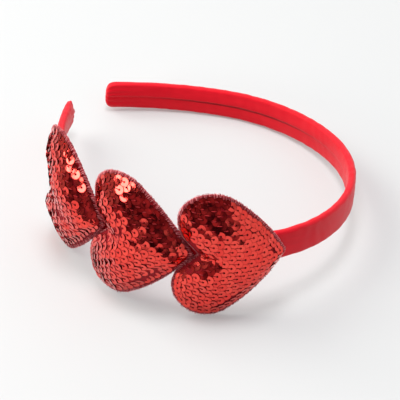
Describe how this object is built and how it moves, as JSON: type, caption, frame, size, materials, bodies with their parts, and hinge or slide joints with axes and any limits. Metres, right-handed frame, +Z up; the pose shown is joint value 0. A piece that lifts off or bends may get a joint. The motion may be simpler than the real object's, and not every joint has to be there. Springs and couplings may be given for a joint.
{
  "type": "heart headband",
  "caption": "Satin-wrapped C-shaped headband with padded, sequin-covered hearts in a row along one arm, their tips toward the crown; worn over the top of the head.",
  "frame": {"origin": "middle of the bounding box at table level, with the headband lying at rest", "axes": "+Z up from the table, -Y toward the crown of the hoop, +Y toward its two open ends, hearts on the -X arm"},
  "size_m": [0.1238, 0.1402, 0.0573],
  "materials": {
    "satin": "red satin ribbon wrapped round a flat core, soft sheen",
    "backing": "dull dark red backing cloth with an overcast edge",
    "sequins": "red cloth sewn all over with small shiny red sequins"
  },
  "bodies": {
    "root": {"band": "satin", "heart_crown_back": "backing", "heart_crown_pad": "sequins", "heart_middle_back": "backing", "heart_middle_pad": "sequins", "heart_end_back": "backing", "heart_end_pad": "sequins"}
  },
  "joints": []
}
